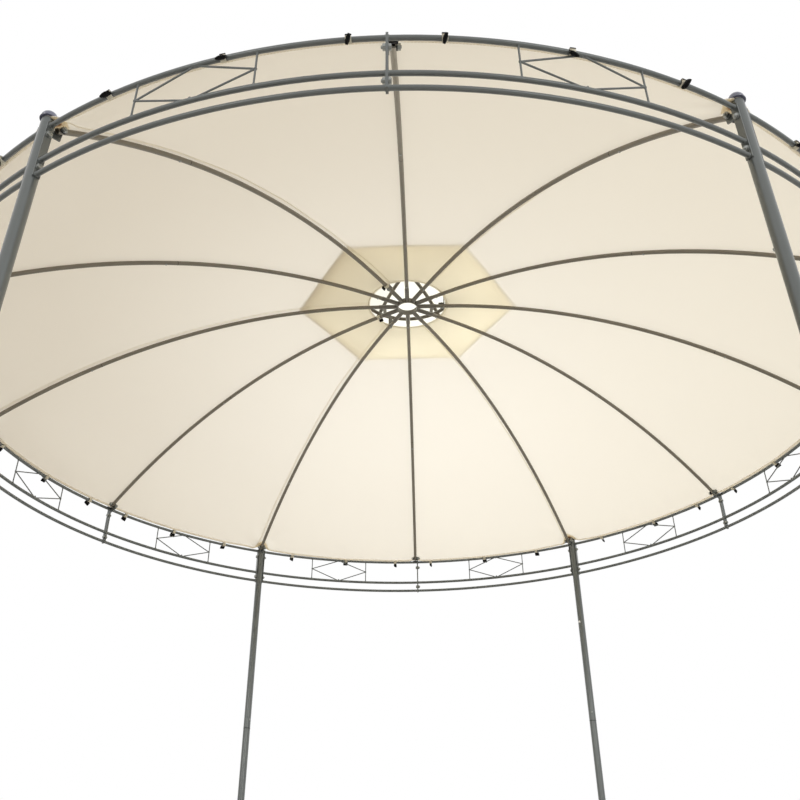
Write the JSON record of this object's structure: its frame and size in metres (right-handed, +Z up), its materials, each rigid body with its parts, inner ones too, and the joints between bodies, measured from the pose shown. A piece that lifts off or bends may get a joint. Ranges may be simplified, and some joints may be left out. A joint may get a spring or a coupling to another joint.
{
  "type": "garden gazebo",
  "caption": "Round steel-framed gazebo with a vented fabric dome on curved ribs, a raised hexagonal cap, a railed ring with lozenge ornaments and slender posts.",
  "frame": {"origin": "middle of the gazebo at floor level", "axes": "+Z up; +X through the middle of one post; the doorway faces -Y"},
  "size_m": [3.61, 3.52, 2.7505],
  "materials": {
    "frame_steel": "satin grey powder coat",
    "finial_plastic": "glossy dark blue-grey",
    "canopy_fabric": "plain cream polyester",
    "cap_fabric": "plain cream polyester"
  },
  "bodies": {
    "root": {"lower_post_1": "frame_steel", "lower_post_2": "frame_steel", "lower_post_3": "frame_steel", "lower_post_4": "frame_steel", "lower_post_5": "frame_steel", "lower_post_6": "frame_steel", "upper_post_1": "frame_steel", "upper_post_2": "frame_steel", "upper_post_3": "frame_steel", "upper_post_4": "frame_steel", "upper_post_5": "frame_steel", "upper_post_6": "frame_steel", "foot_plates": "frame_steel", "finials": "finial_plastic", "ring_bay_01": "frame_steel", "ring_bay_02": "frame_steel", "ring_bay_03": "frame_steel", "ring_bay_04": "frame_steel", "ring_bay_05": "frame_steel", "ring_bay_06": "frame_steel", "ring_bay_07": "frame_steel", "ring_bay_08": "frame_steel", "ring_bay_09": "frame_steel", "ring_bay_10": "frame_steel", "ring_bay_11": "frame_steel", "ring_bay_12": "frame_steel", "rib_01": "frame_steel", "rib_02": "frame_steel", "rib_03": "frame_steel", "rib_04": "frame_steel", "rib_05": "frame_steel", "rib_06": "frame_steel", "rib_07": "frame_steel", "rib_08": "frame_steel", "rib_09": "frame_steel", "rib_10": "frame_steel", "rib_11": "frame_steel", "rib_12": "frame_steel", "hub": "frame_steel", "crown_hub": "frame_steel", "crown_ribs": "frame_steel", "crown_hoop": "frame_steel", "main_canopy": "canopy_fabric", "cap_canopy": "cap_fabric"}
  },
  "joints": []
}
